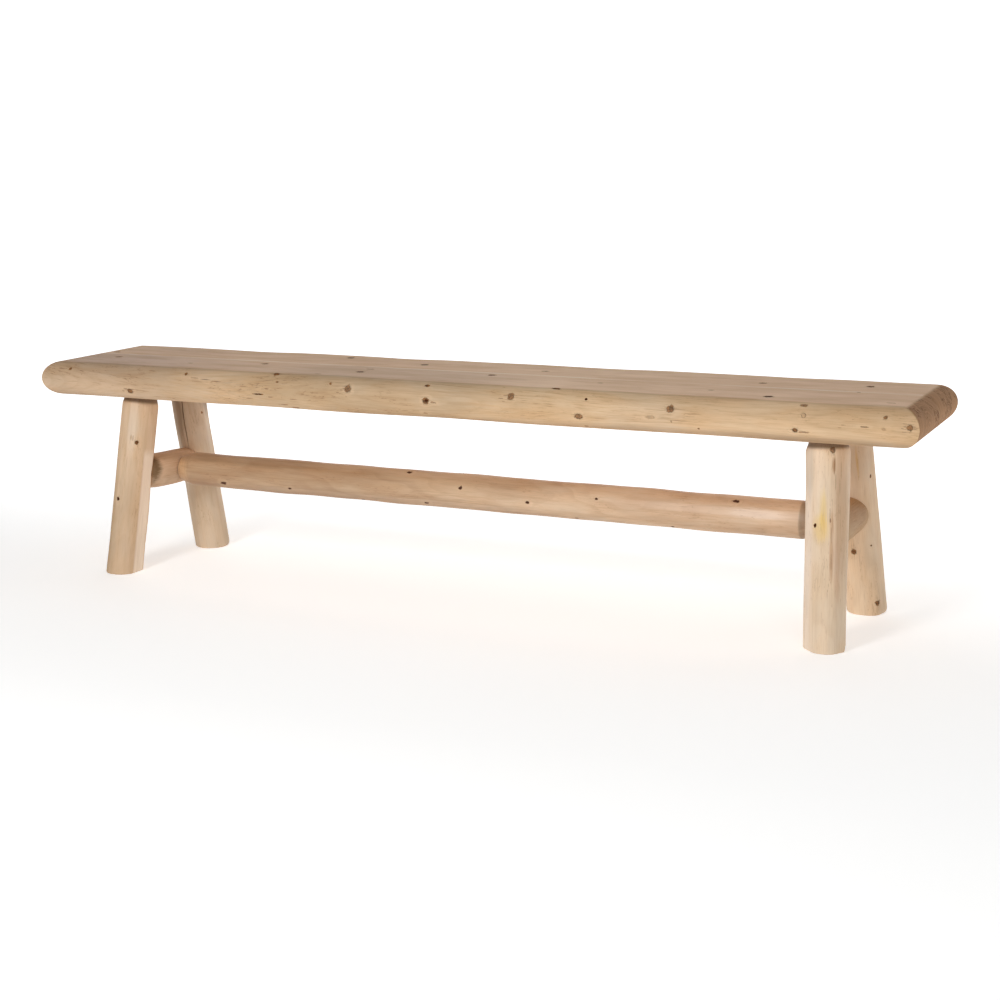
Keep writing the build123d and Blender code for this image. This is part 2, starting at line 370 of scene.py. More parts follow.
def cedar(name, light, tan_wood, layers=1, seed=0.0, planed=False, ring_mm=1.9, streaks=1.0, stains_and_shading=(), threads=0.6,
          flames=3.0, shine=0.12):
    """Peeled, sanded white cedar. Growth rings are the distance from the pith over ring_mm, pushed by slow noise of
    size flames and swollen round knots, so they draw flames where the skin grazes them. Fine fibres, flecks and dark
    threads, tints, end grain, knots, the paler wood of a drawknife cut and the drying check lie over them. The tints
    passed in are real stain marks and also painted light and painted shade. The drying check's dark colour also paints
    shade on each leg's neck under the seat, on the stretcher's east neck and along a seat log's top arris. Seed shifts
    the noise along the log. `first` is 1 on a seat log's planed faces, which are rosier, and more at its seam, where it
    paints a highlight line, and on a round log it is the paleness of the knife cuts, which on the front left leg's wide
    flat is paler cut wood and a painted sheen together."""
    t = Tree(name)
    grain = t.shift(t.data("grain"), (seed, 0.0, 0.0))
    along, face, side = t.parts(grain)
    # the third channel is the drying check, and also painted shade on necks and along a seat log's top arris
    first, end, check = t.parts(t.data("finish"))
    slow = t.noise(t.stretch(grain, (1.0, 10, 10)), 1.0, 2.0, 0.45)
    mid = t.noise(t.stretch(grain, (4, 60, 60)), 1.0, 2.0, 0.5)
    band = t.noise(t.stretch(grain, (4, 150, 150)), 1.0, 2.0, 0.5)
    fine = t.noise(t.stretch(grain, (18, 420, 420)), 1.0, 3.0, 0.6)
    fibre = t.noise(t.stretch(grain, (60, 1500, 1500)), 1.0, 2.0, 0.6)
    blotch = t.noise(t.stretch(grain, (5, 22, 22)), 1.0, 3.0, 0.55)
    patch = t.noise(t.stretch(grain, (11, 36, 36)), 1.0, 2.0, 0.5)
    wisp = t.noise(t.stretch(grain, (15, 190, 190)), 1.0, 2.5, 0.55)
    ragged = t.noise(grain, 230.0, 3.0, 0.65)

    core = rim = halo = swell = years = None
    for number in range(layers):
        u, v, presence = t.parts(t.data(f"knots_{number}"))
        dark, outline, glow = t.parts(t.data(f"knots_{number}_look"))
        d = (u * u + v * v).root() * (2.2 * ragged - 0.1).most(0.4)
        wide = (u * u * 0.3 + v * v).root() * (0.80 + 0.40 * fine)
        beside = wide.step(0.9, 1.9, 1, 0) * fine.step(0.48, 0.62) * ragged.step(0.42, 0.54) * outline
        c = presence * dark * d.step(0.80, 1.04, 1, 0).most(beside * 0.6)
        r = presence * outline * (d.step(0.70, 0.90) - d.step(1.0, 1.25))
        h = presence * glow * wide.step(0.9, 3.8, 1, 0)
        s = presence * d.step(0.0, 3.4, 1, 0)
        y = c * (d * 3.1).fract().step(0.45, 0.8)
        core = c if core is None else core.most(c)
        rim = r if rim is None else rim.most(r)
        halo = h if halo is None else halo.most(h)
        swell = s if swell is None else swell.most(s)
        years = y if years is None else years.most(y)

    pith = (face * face + side * side).root()
    depth = pith * 1000 + (slow - 0.5) * flames + (mid - 0.5) * 0.9 + swell * 3.0
    ring = depth / ring_mm
    turn = ring.fract()
    tone = t.chance(ring.floor() + seed * 7)
    late = turn.step(0.35, 0.86) * turn.step(0.9, 1.0, 1, 0) * (0.45 + 0.75 * tone)

    colour = t.mix(blotch.step(0.32, 0.68), light, tan_wood)
    colour = t.tint(patch.step(0.34, 0.62) * 0.8, colour, (1.03, 0.985, 0.93, 1))
    colour = t.tint(late * 0.17 * streaks, colour, (0.62, 0.50, 0.40, 1))
    colour = t.tint(band.step(0.5, 0.72) * 0.24 * streaks, colour, (0.70, 0.58, 0.46, 1))
    colour = t.tint(fine.step(0.50, 0.74) * 0.34 * streaks, colour, (0.66, 0.54, 0.43, 1))
    colour = t.mix(fine.step(0.26, 0.46, 1, 0) * 0.30, colour, light)
    colour = t.tint(fibre.step(0.45, 0.8) * (0.08 + 0.16 * streaks), colour, (0.68, 0.58, 0.48, 1))
    thread = (wisp - 0.5).size().step(0.0, 0.018, 1, 0) * patch.step(0.42, 0.56) * blotch.step(0.42, 0.56)
    thread *= along.step(0.75, 0.95, 1.0, 0.62) if planed else 1.0
    colour = t.tint(thread * 0.72 * threads, colour, (0.46, 0.34, 0.25, 1))
    fleck = fine.step(0.60, 0.66) * slow.step(0.50, 0.60) * mid.step(0.45, 0.6)
    colour = t.tint(fleck * 0.5 * streaks, colour, (0.52, 0.42, 0.34, 1))
    if planed:
        # painted shade: a planed seat log turns darker toward its underside, from 18 to 36 mm below its pith
        colour = t.tint(side.step(-0.036, -0.018, 1, 0) * 0.8, colour, (0.86, 0.83, 0.80, 1))
        rosy = t.mix(blotch.step(0.3, 0.7), paint(236, 194, 158), paint(223, 179, 139))
        colour = t.mix(first.least(1.0) * 0.7, colour, rosy)
        colour = t.tint(first.least(1.0) * patch.step(0.42, 0.62) * 0.35, colour, (0.84, 0.80, 0.74, 1))
        colour = t.tint(first.least(1.0) * late * 0.15, colour, (0.64, 0.54, 0.45, 1))
        colour = t.tint(first.least(1.0) * fine.step(0.52, 0.70) * 0.12, colour, (0.64, 0.54, 0.45, 1))
        # painted highlight: a pale line along the seam, where `first` passes 1.15
        colour = t.mix(first.step(1.15, 1.5) * (0.15 + 0.7 * band.step(0.4, 0.6)), colour, paint(236, 214, 190))
    else:
        # paler wood of the knife cuts, on the front left leg's wide flat also a painted sheen
        colour = t.mix(first * (0.55 + 0.5 * fine), colour, paint(250, 230, 208))
    # tints from the tables: real stain marks, and also painted light and painted shade, each a soft ellipsoid round a
    # place in the wood
    for ratio, along_at, face_at, side_at, half_long, half_wide, strength in stains_and_shading:
        spot = t.stretch(t.shift(grain, (-(along_at * MM + seed), -face_at * MM, -side_at * MM)),
                         (1 / (half_long * MM), 1 / (half_wide * MM), 1 / (half_wide * MM)))
        far = t.make("ShaderNodeVectorMath", {"operation": "LENGTH"}, {0: spot}, out="Value")
        colour = t.tint((far + (fine - 0.5) * 0.8).step(0.45, 1.15, 1, 0) * strength, colour, (*ratio, 1))

    colour = t.mix(end * 0.85, colour, t.mix(tone, paint(182, 134, 94), paint(156, 113, 76)))
    colour = t.tint(end * late * 0.3, colour, (0.66, 0.55, 0.44, 1))
    lean = t.make("ShaderNodeCombineXYZ", None, {"X": along * 150, "Y": face * 420 + side * 150, "Z": side * 130})
    pits = t.noise(lean, 1.0, 3.0, 0.6, 0.7)
    torn = pits.step(0.52, 0.59) * t.noise(grain, 32.0, 1.0, 0.5).step(0.47, 0.54)
    colour = t.tint(end * torn, colour, (0.38, 0.30, 0.23, 1))

    colour = t.mix(halo * (0.1 + 0.6 * wisp), colour, t.mix(blotch, paint(232, 204, 172), paint(222, 188, 144)))
    heart = ragged.step(0.40, 0.60).most(core.step(0.90, 1.0))
    colour = t.mix(core.least(1.0), colour, t.mix(heart, paint(150, 98, 54), paint(74, 38, 14)))
    colour = t.tint(years * 0.55, colour, (0.50, 0.42, 0.36, 1))
    colour = t.mix(rim.least(1.0) * (0.15 + 0.75 * heart), colour, paint(60, 32, 14))
    # dark colour of the drying check, which also paints shade on the necks and along the seat's top arris
    colour = t.mix(check, colour, paint(62, 42, 22))

    height = late * -0.12 + fine * 0.5 + fibre * 0.25 + mid * 0.8 - core * 0.5 - fleck * 0.5
    height = height + end * (pits - torn) - thread * 0.4
    bump = t.make("ShaderNodeBump", None, {"Strength": 0.35, "Distance": 0.0006, "Height": height})
    rough = 0.55 + (fine - 0.5) * 0.16 + end * 0.2 + core * 0.3
    return t.surface({"Base Color": colour, "Roughness": rough, "Normal": bump, "Specular IOR Level": shine})


# ---------------------------------------------------------------- the logs

def leg(start, end, radii, seed, **more):
    """Log that faces the front, with a cone under the seat from its full radius to the neck's at its end."""
    log = Log(start, end, radii, (0, -1, 0), seed, waver=0.35, **more)
    log.neck = (NECK_RADIUS, log.length, (radii[1] - NECK_RADIUS) / NECK_LONG)
    return log


# flats: turn in degrees, depth, begin and finish along the log, length of the fade, paleness of the cut, which on the
# front left leg's first flat is paler cut wood and a painted sheen together
# check: from and to along the log, its turn in degrees at each
LEGS = {
    "leg_front_left": leg((-752.3, -144.57, 0), (-727.5, -85.77, SEAT_UNDERSIDE), (37.6, 37.4), 11,
                          # first flat: paleness 1.0, paler cut wood and a painted sheen together
                          flats=[(88, 3.6, -60, 256, 12, 1.0), (-60, 0.5, 60, 420, 60, 0.3),
                                 (16, 1.0, 240, 420, 40, 0.3)]),
    "leg_rear_left": leg((-711.1, 122.83, 0), (-727.5, 74.23, SEAT_UNDERSIDE), (37.4, 37.1), 12,
                         flats=[(40, 1.2, -50, 170, 50, 0.12), (-35, 1.4, 120, 420, 50, 0.2),
                                (100, 1.2, 60, 420, 60, 0.2)],
                         check=(222, 378, 7.0, 13.0)),
    "leg_front_right": leg((755.3, -123.57, 0), (739.5, -85.77, SEAT_UNDERSIDE), (39.8, 38.3), 13,
                           flats=[(-42, 1.6, -60, 420, 60, 0.3), (56, 2.0, -60, 420, 60, 0.0),
                                  (-8, 1.0, 250, 420, 30, 0.3), (101, 5.6, -400, 220, 200, 0.0)]),
    "leg_rear_right": leg((765.4, 144.73, 0), (739.5, 74.23, SEAT_UNDERSIDE), (37.6, 36.8), 14,
                          flats=[(70, 1.3, -60, 420, 60, 0.0), (5, 0.9, 120, 420, 50, 0.15)]),
}
CROSS = {
    "cross_log_left": Log((-740.0, -112.96, 205.3), (-729.5, 96.70, 198.2), (CROSS_RADIUS, CROSS_RADIUS), (1, 0, 0),
                          21, waver=0.3, bow=18.5),
    "cross_log_right": Log((738.31, -103.25, 200), (742.98, 106.83, 200), (CROSS_RADIUS, CROSS_RADIUS), (-1, 0, 0),
                           22, waver=0.3),
}
STRETCHER = Log((SHOULDER_WEST, SEAM_Y, 201.5), (SHOULDER_EAST, SEAM_Y, 201.5), (STRETCHER_RADIUS, STRETCHER_RADIUS),
                (0, -1, 0), 31, waver=0.4,
                flats=[(-20, 0.8, 1060, 1500, 90, 0.25), (40, 0.7, 200, 800, 150, 0.3),
                       (-60, 0.8, 100, 700, 150, 0.1)])

# knots: place along, place round the log in degrees, size, stretch, core, rim, halo
LEG_KNOTS = {
    "leg_front_left": [(277, 35, 4.2, 1.0, 0.95, 0.6, 0.4), (154, -12, 3.8, 1.1, 1.0, 0.4, 0.35),
                       (285, 22, 1.6, 3.5, 0.3, 0, 0.2), (95, 130, 5.0, 1.1, 0.8, 0.5, 0.4),
                       (215, 205, 4.0, 1.0, 0.8, 0.5, 0.3)],
    "leg_rear_left": [(312, 77, 2.2, 1.1, 0.9, 0, 0.2), (120, 190, 4.5, 1.0, 0.8, 0.5, 0.4),
                      (60, -80, 3.2, 1.0, 0.8, 0.4, 0.3), (215, 150, 2.5, 1.2, 0.8, 0.4, 0.3)],
    "leg_front_right": [(354, 27, 5.0, 1.1, 0.75, 0.7, 0.5), (222, -18, 2.6, 1.5, 1.0, 0.2, 0.5),
                        (232, 22, 1.5, 3.0, 0.6, 0, 0.5), (240, 21, 0.9, 24, 0.32, 0, 0),
                        (205, 25, 0.9, 26, 0.28, 0, 0), (160, 25, 1.0, 26, 0.32, 0, 0),
                        (326, 31, 1.1, 18, 0.28, 0, 0), (300, 35, 0.9, 20, 0.36, 0, 0),
                        (318, 52, 0.8, 28, 0.36, 0, 0), (290, 48, 0.7, 20, 0.3, 0, 0),
                        (110, 150, 4.5, 1.0, 0.8, 0.5, 0.4), (290, 210, 3.5, 1.0, 0.8, 0.5, 0.4)],
    "leg_rear_right": [(282, 64, 2.4, 1.4, 0.95, 0, 0.3), (138, -9, 5.4, 1.0, 0.9, 0.5, 0.3),
                       (147, 44, 2.0, 1.0, 0.9, 0, 0.2), (29, 47, 5.4, 1.0, 0.9, 0.6, 0.4),
                       (200, 170, 4.0, 1.0, 0.8, 0.5, 0.4)],
}
CROSS_KNOTS = {
    "cross_log_left": [(150, 110, 3.5, 1.0, 0.8, 0.4, 0.3), (60, 200, 4.0, 1.0, 0.8, 0.4, 0.3)],
    "cross_log_right": [(60, 50, 3.5, 1.0, 0.8, 0.4, 0.3), (165, -40, 4.0, 1.0, 0.8, 0.4, 0.3)],
}
STRETCHER_KNOTS = [
    (118, 32, 3.7, 1.7, 1.0, 0.1, 0.3), (281, 31, 2.9, 1.6, 1.0, 0.1, 0.2), (449, 59, 2.8, 1.6, 1.0, 0, 0.2),
    (554, -68, 3.4, 1.7, 1.0, 0.2, 0.3), (597, 45, 3.2, 1.6, 1.0, 0.1, 0.3), (678, -23, 3.4, 1.2, 1.0, 0.3, 0.4),
    (823, 5, 2.8, 1.5, 1.0, 0.2, 0.4), (921, 55, 2.3, 1.6, 0.9, 0, 0.2), (966, -24, 2.4, 1.3, 1.0, 0.1, 0.2),
    (1115, 58, 3.0, 1.8, 1.0, 0, 0.3), (1238, -55, 3.7, 1.8, 1.0, 0.4, 0.3),
    (350, 150, 4.0, 1.2, 0.9, 0.4, 0.4), (760, 200, 4.5, 1.2, 0.9, 0.4, 0.4), (1150, 165, 3.5, 1.2, 0.9, 0.4, 0.4)]


def by_arc(knots, mean):
    """Knots with their degrees round a log of this radius turned into mm."""
    return [(k[0], radians(k[1]) * mean, *k[2:]) for k in knots]


def lay_log(name, log, rows, slot, finish, knots, layers, shade=None):
    """Closed surface from rows of (along, turn, radius) arrays round a log, with its first and last row drawn to a
    point, plus its grain, finish and knot data. Shade paints a shadow on the last neck in the drying check's dark
    colour: from and to, mm before the log's end, and how much."""
    along, turn, radius = (np.stack([np.broadcast_to(row[k], rows[0][1].shape) for row in rows]) for k in range(3))
    points = log.at(along, turn, radius)
    points[..., 1] = np.clip(points[..., 1], -HALF_DEEP, HALF_DEEP)
    points[..., 2] = np.maximum(points[..., 2], 0)
    flat = points.reshape(-1, 3)
    pale = np.where(radius > 29, log.pale(along, turn), 0)
    split = log.split(along, turn) if log.check else np.zeros_like(along)
    # painted shade on the last neck, carried in the drying check's channel
    if shade:
        split = np.maximum(split, shade[2] * smooth(log.length - shade[0], log.length - shade[1], along))
    normal = np.cross(np.gradient(points, axis=0), np.roll(points, -1, 1) - np.roll(points, 1, 1))
    normal /= np.linalg.norm(normal, axis=-1, keepdims=True) + 1e-12
    end = smooth(0.45, 0.8, np.abs(normal @ log.way))
    data = {"grain": log.grain(flat), "finish": np.stack([pale, end, split], -1).reshape(-1, 3)}
    mean = sum(log.radii) / 2
    wrap = lambda d: (d / mean + np.pi) % (2 * np.pi) * mean - np.pi * mean
    data.update(knot_data(spread(by_arc(knots, mean)), layers, along.reshape(-1), turn.reshape(-1) * mean, wrap))
    build(name, flat, ring_faces(len(rows), along.shape[1]), data, finish)


def turns_for(log, count):
    """Turns of the columns. Beside a drying check they crowd to a fraction of a millimetre."""
    if not log.check:
        return np.linspace(0, 2 * np.pi, count, endpoint=False)
    close = np.array([0, 0.3, 0.6, 0.9, 1.3, 2.0]) / log.radii[0]
    rest = np.linspace(close[-1], 2 * np.pi - close[-1], count)[1:-1]
    return np.concatenate([close, rest, 2 * np.pi - close[:0:-1]])


# where round the foot its edge is worn most, in degrees, and how much higher the rounding is there, mm
FOOT_WEAR = {"leg_rear_left": (125, 7.0), "leg_rear_right": (112, 9.0)}
FOOT_INSET, FOOT_RISE = 1.5, 2.4      # how far in and how far up every foot's edge is rounded


def make_leg(name, log, finish, layers):
    """Leg: its foot lies on the floor with its edge rounded by a quarter ellipse, more on one side by cos^2, its neck
    ends on the underside of the seat, and its round tenon goes on into the seat log."""
    columns = turns_for(log, 170)
    drift = (lambda a: log.check_turn(np.clip(a, 200, 378))) if log.check else (lambda a: 0.0)
    worn_at, worn = FOOT_WEAR.get(name, (0, 0.0))
    wear = worn * np.maximum(np.cos(columns + drift(0.0) - radians(worn_at)), 0) ** 2
    inset, rise = FOOT_INSET + 0.7 * wear, FOOT_RISE + wear
    foot = log.at_height(0.0, columns + drift(0.0), log.skin)
    top = log.at_height(SEAT_UNDERSIDE, columns + drift(log.length), log.skin)
    rows = []
    for share in (0.0, 0.4, 0.8, 0.93):
        plane = log.at_height(0.0, columns + drift(0.0), lambda a, u: share * (log.skin(a, u) - inset))
        rows.append((plane, columns + drift(0.0), share * (log.skin(plane, columns) - inset)))
    steps = np.concatenate([[0, 0.2, 0.5, 0.9, 1.4, 2.0, 2.8, 3.8, 4.8, 6.4], np.arange(8, 338, 2.5)])
    steps = np.concatenate([steps, np.linspace(339, 371.6, 22), [SEAT_UNDERSIDE]])
    for height in steps:
        part = foot + (top - foot) * height / SEAT_UNDERSIDE
        turn = columns + drift(part)
        eased = inset * (1 - np.sqrt(1 - (1 - np.clip(height / rise, 0, 1)) ** 2))
        rows.append((part, turn, log.skin(part, turn) - eased))
    last = rows[-1][1]
    tip = log.length + LEG_TENON
    for radius, at in ((27.5, None), (LEG_TENON_RADIUS, None), (LEG_TENON_RADIUS, tip - TIP_CHAMFER),
                       (LEG_TENON_RADIUS - TIP_CHAMFER, tip), (10.0, tip), (0.0, tip)):
        place = log.at_height(SEAT_UNDERSIDE, last, lambda a, u: radius) if at is None else np.full(last.shape, at)
        rows.append((place, last, np.full(last.shape, radius)))
    # painted shade under the seat, rising from 21 to 14 mm before the end of the neck
    lay_log(name, log, rows, name + "_wood", finish, LEG_KNOTS[name], layers, (21, 14, 0.7))


# how far each end of a cross log is rounded down and over what length, front then rear
CROSS_ENDS = {"cross_log_left": (22, 55, 22, 100), "cross_log_right": (10, 50, 7, 60)}
# rows of a stub tenon from its tip: radius, and how far past the log's end, or None where it meets the leg's skin
STUB_ROWS = [(0.0, STUB_LONG), (12.0, STUB_LONG), (STUB_RADIUS - TIP_CHAMFER, STUB_LONG),
             (STUB_RADIUS, STUB_LONG - TIP_CHAMFER), (STUB_RADIUS, None), (22.0, None), (29.0, None)]


def meets(log, leg_log, turn, radius_of, at_start):
    """Along at which a cross log's line enters a leg's skin, found by halving the span between the middle of the cross
    log and the leg's centre plane. A line that passes beside the leg stops at that plane."""
    inner = np.full(turn.shape, log.length / 2)
    outer = np.zeros(turn.shape) if at_start else np.full(turn.shape, log.length)

    def depth(a):
        place, angle, distance = leg_log.place(log.at(a, turn, radius_of(a)))
        return leg_log.skin(place, angle) + COPE_GAP - distance
    hit = depth(outer) > 0
    free, held = inner.copy(), outer.copy()
    for _ in range(26):      # to well under a micron
        centre = (free + held) / 2
        inside = depth(centre) > 0
        held, free = np.where(inside, centre, held), np.where(inside, free, centre)
    return np.where(hit, free, outer)


def make_cross(name, log, shoulder, finish, layers):
    """Cross log: both ends coped to the skins of its legs with their corners rounded over, a flat seat for the
    stretcher's shoulder in the middle, and stub tenons into the legs."""
    turn = np.linspace(0, 2 * np.pi, 150, endpoint=False)
    side = name.split("_")[-1]
    front, rear = LEGS[f"leg_front_{side}"], LEGS[f"leg_rear_{side}"]
    middle = (SEAM_Y - log.start[1]) / log.way[1]
    low, high = middle - SHOULDER_FLAT, middle + SHOULDER_FLAT
    reach = (shoulder - log.at(np.array(middle), np.array(0.0), np.array(0.0))[0]) * log.face[0]

    def radius_at(along, seated=False):
        """Skin rounded down at both ends by a quarter ellipse: drop (1 - root(1 - (1 - share)^2))."""
        front_drop, front_long, rear_drop, rear_long = CROSS_ENDS[name]
        near, far = 1 - np.clip(along / front_long, 0, 1), 1 - np.clip((log.length - along) / rear_long, 0, 1)
        r = log.skin(along, turn) - front_drop * (1 - np.sqrt(1 - near ** 2)) - rear_drop * (1 - np.sqrt(1 - far ** 2))
        if seated:
            away = np.cos(turn)
            flat = (reach + (along - middle) * -log.way[0] * log.face[0]) / np.maximum(away, 0.3)
            r = np.minimum(r, np.where(away > 0.3, flat, 99))
        return r

    def end_rows(leg_log, at_start):
        """Rows from a tenon's tip over the cope to 2 mm inside it, its edge rounded by a quarter ellipse."""
        found = []
        for radius, out in STUB_ROWS:
            r = np.full(turn.shape, radius)
            if out is None:
                along = meets(log, leg_log, turn, lambda a: r, at_start)
            else:
                along = np.full(turn.shape, -out if at_start else log.length + out)
            found.append((along, turn, r))
        edge = meets(log, leg_log, turn, radius_at, at_start)
        for step in (0.0, 0.25, 0.6, 1.2, 2.0):
            drop = 1.2 * (1 - np.sqrt(1 - (1 - min(step / 2.0, 1)) ** 2))
            along = edge + step if at_start else edge - step
            found.append((along, turn, radius_at(along) - drop))
        return edge, found

    (start, rows), (stop, last_rows) = end_rows(front, True), end_rows(rear, False)
    for share in np.linspace(0, 1, 34)[1:]:
        along = start + 2 + (low - 0.05 - start - 2) * share
        rows.append((along, turn, radius_at(along)))
    for along in np.concatenate([[low], np.linspace(low + 2, high - 2, 20), [high]]):
        rows.append((np.full(turn.shape, along), turn, radius_at(np.full(turn.shape, along), True)))
    for share in np.linspace(0, 1, 34)[:-1]:
        along = high + 0.05 + (stop - 2.0 - high - 0.05) * share
        rows.append((along, turn, radius_at(along)))
    lay_log(name, log, rows + last_rows[::-1], "cross_log_wood", finish, CROSS_KNOTS[name], layers)


def make_stretcher(finish, layers):
    """Stretcher: peeled log whose neck at each end is a cone from the full skin to the square shoulder, then a round
    tenon into the cross log."""
    log = STRETCHER
    # radius and how far past the shoulder, from the tip
    tenon_rows = ((0.0, STRETCHER_TENON), (10.0, STRETCHER_TENON),
                  (STRETCHER_TENON_RADIUS - TIP_CHAMFER, STRETCHER_TENON),
                  (STRETCHER_TENON_RADIUS, STRETCHER_TENON - TIP_CHAMFER), (STRETCHER_TENON_RADIUS, 0.0), (24.0, 0.0))
    turn = np.linspace(0, 2 * np.pi, 110, endpoint=False)
    rows = []
    places = np.concatenate([[0.0, 0.35, 0.8, 1.6, 4], np.linspace(8, 36, 13), np.linspace(40, log.length - 40, 330)])
    places = np.concatenate([places, log.length - places[:18][::-1]])

    def radius_at(along):
        """The smaller of skin and neck cone, less an eased lip of 0.5 mm at the shoulder."""
        from_end = min(along, log.length - along)
        neck = SHOULDER_RADIUS + from_end * SHOULDER_SLOPE
        lip = 0.5 * (1 - smooth(0, 0.8, from_end))
        return soft_min(log.skin(np.full(turn.shape, along), turn), neck, 0.2) - lip
    for radius, past in tenon_rows:
        rows.append((np.full(turn.shape, -past), turn, np.full(turn.shape, radius)))
    for along in places:
        rows.append((np.full(turn.shape, along), turn, radius_at(along)))
    for radius, past in tenon_rows[::-1]:
        rows.append((np.full(turn.shape, log.length + past), turn, np.full(turn.shape, radius)))
    # painted shade on the east neck, rising from 32 to 28 mm before the log's end
    lay_log("stretcher_log", log, rows, "stretcher_wood", finish, STRETCHER_KNOTS, layers, (32, 28, 0.45))


# ---------------------------------------------------------------- seat logs

# place along the bench, place across (mm down the round side from its top line, or minus mm back over the top), then
# size, stretch, core, rim, halo
SEAT_KNOTS = {
    -1: [(-844, 26, 3.0, 1.1, 0.9, 0.3, 0.3), (-692, 67, 5.4, 1.2, 0.85, 0.9, 0.6), (-703, 61, 1.0, 5, 0.45, 0, 0.3),
         (-709, 67, 1.1, 3.5, 0.4, 0, 0), (-555, 23, 3.4, 1.0, 0.9, 0.4, 0.3), (-348, 9, 4.4, 1.7, 0.9, 0.4, 0.4),
         (-338, 29, 1.9, 2.0, 0.8, 0, 0.2), (-304, 87, 4.2, 2.0, 0.6, 0.3, 0.5), (-218, 26, 2.6, 0.9, 0.85, 0.4, 0.2),
         (-177, 34.6, 7.0, 1.0, 0.75, 0.9, 0.7), (-191, 38, 1.0, 4, 0.45, 0, 0.2), (-199, 43, 1.2, 3, 0.4, 0, 0),
         (-11, 17.8, 3.2, 1.8, 0.9, 0.2, 0.3), (-7, 48.7, 5.8, 1.2, 0.88, 0.9, 1.0), (-6, 48.4, 3.0, 1.3, 1.0, 0, 0),
         (8, 51, 1.8, 4.0, 0.55, 0, 0.8), (-13, 76, 2.6, 1.8, 0.4, 0, 0.3), (167, 31, 6.6, 1.0, 0.75, 0.8, 0.5),
         (156, 30, 1.0, 4.5, 0.4, 0, 0.2), (148, 36, 1.1, 5, 0.45, 0, 0), (153, 41, 0.9, 4, 0.35, 0, 0),
         (249, 5, 3.6, 2.6, 0.95, 0, 0.3), (316, 28, 3.0, 1.0, 1.0, 0, 0.3), (303, 61, 5.4, 1.4, 0.75, 1.0, 0.8),
         (313, 85, 2.4, 1.8, 0.55, 0, 0.3), (441, 53.6, 3.0, 3.0, 0.3, 0.3, 0.5),
         (478, 37.4, 7.2, 1.0, 0.8, 0.5, 0.3), (480, 59, 1.8, 1.0, 0.5, 0, 0.3), (529, 71, 1.9, 1.3, 0.9, 0, 0.2),
         (703, 61.4, 3.8, 1.4, 0.9, 0.9, 0.5), (718, 64, 1.8, 5.0, 0.6, 0, 0.4), (714, 15, 3.4, 2.4, 0.7, 0.2, 0.4),
         (717, 34.7, 4.2, 1.0, 0.15, 1.0, 0.2), (822, 48.2, 1.4, 6.0, 0.6, 0, 0.3), (786, 47, 0.8, 5, 0.4, 0, 0),
         (781, 52, 0.8, 5, 0.35, 0, 0), (857, 30, 3.4, 1.0, 0.8, 0.7, 0.3), (855, 50, 2.4, 1.3, 0.3, 0.3, 0.2),
         (899, 45.6, 5.4, 0.9, 0.75, 0.9, 0.6), (889, 39, 0.8, 5, 0.4, 0, 0), (886, 47, 0.9, 3.5, 0.4, 0, 0),
         (890, 53, 0.8, 5, 0.35, 0, 0), (-380, 55.5, 1.4, 10.0, 1.0, 0, 0), (-360, 44, 1.2, 4, 0.6, 0, 0),
         (-352, 60, 1.1, 6, 0.5, 0, 0), (-325, 77, 1.2, 8, 0.6, 0, 0), (-402, 66, 1.0, 8, 0.4, 0, 0),
         (-415, 42, 1.0, 10, 0.4, 0, 0), (-532, 31, 0.9, 12, 0.6, 0, 0), (-507, 32.7, 0.9, 12, 0.65, 0, 0),
         (-480, 35.5, 1.0, 12, 0.6, 0, 0), (-300, 62, 1.0, 7, 0.5, 0, 0), (-640, 20, 1.0, 9, 0.5, 0, 0),
         (-807, -93, 7.5, 1.1, 0.9, 0, 0.3), (-447, -103, 7.5, 1.1, 0.9, 0, 0.3),
         (-200, -64, 7.5, 1.1, 1.0, 0.3, 0.4), (64, -111, 7.5, 1.2, 0.95, 0, 0.3),
         (638, -32, 8.0, 1.1, 1.0, 0.4, 0.4), (520, -70, 5.0, 1.3, 0.5, 0, 0.3), (-600, -60, 5.0, 1.2, 0.45, 0, 0.3),
         (300, -84, 4.5, 1.4, 0.5, 0, 0.3), (772, -135, 2.6, 1.6, 0.9, 0, 0), (853, -34.7, 3.0, 3.0, 0.7, 0, 0),
         (-201, -106, 4.0, 2.4, 0.6, 0, 0.2), (-265, -9.5, 3.0, 3.0, 0.6, 0, 0)],
    1: [(-864, -115, 7.0, 1.2, 0.85, 0, 0.3), (-326, -31, 7.5, 1.1, 1.0, 0.2, 0.4),
        (-128, -76, 7.5, 1.1, 1.0, 0.3, 0.4), (582, -90, 6.5, 1.2, 0.85, 0, 0.3), (139, -79, 5.0, 1.8, 0.7, 0, 0.3),
        (776, -66, 7.5, 1.1, 0.95, 0.2, 0.4), (-690, 40, 5.5, 1.1, 0.8, 0.4, 0.5),
        (-520, 62, 3.0, 1.1, 0.8, 0.2, 0.3), (-400, 25, 4.5, 1.1, 0.8, 0.4, 0.5), (-190, 55, 6.0, 1.0, 0.8, 0.5, 0.5),
        (-60, 24, 2.8, 1.2, 0.8, 0, 0.3), (90, 45, 5.0, 1.1, 0.8, 0.4, 0.5), (260, 70, 3.4, 1.2, 0.8, 0.2, 0.4),
        (370, 30, 5.6, 1.0, 0.8, 0.5, 0.5), (540, 52, 4.2, 1.1, 0.8, 0.3, 0.4), (700, 33, 3.0, 1.1, 0.8, 0.2, 0.3),
        (810, 58, 5.0, 1.1, 0.8, 0.4, 0.5)],
}


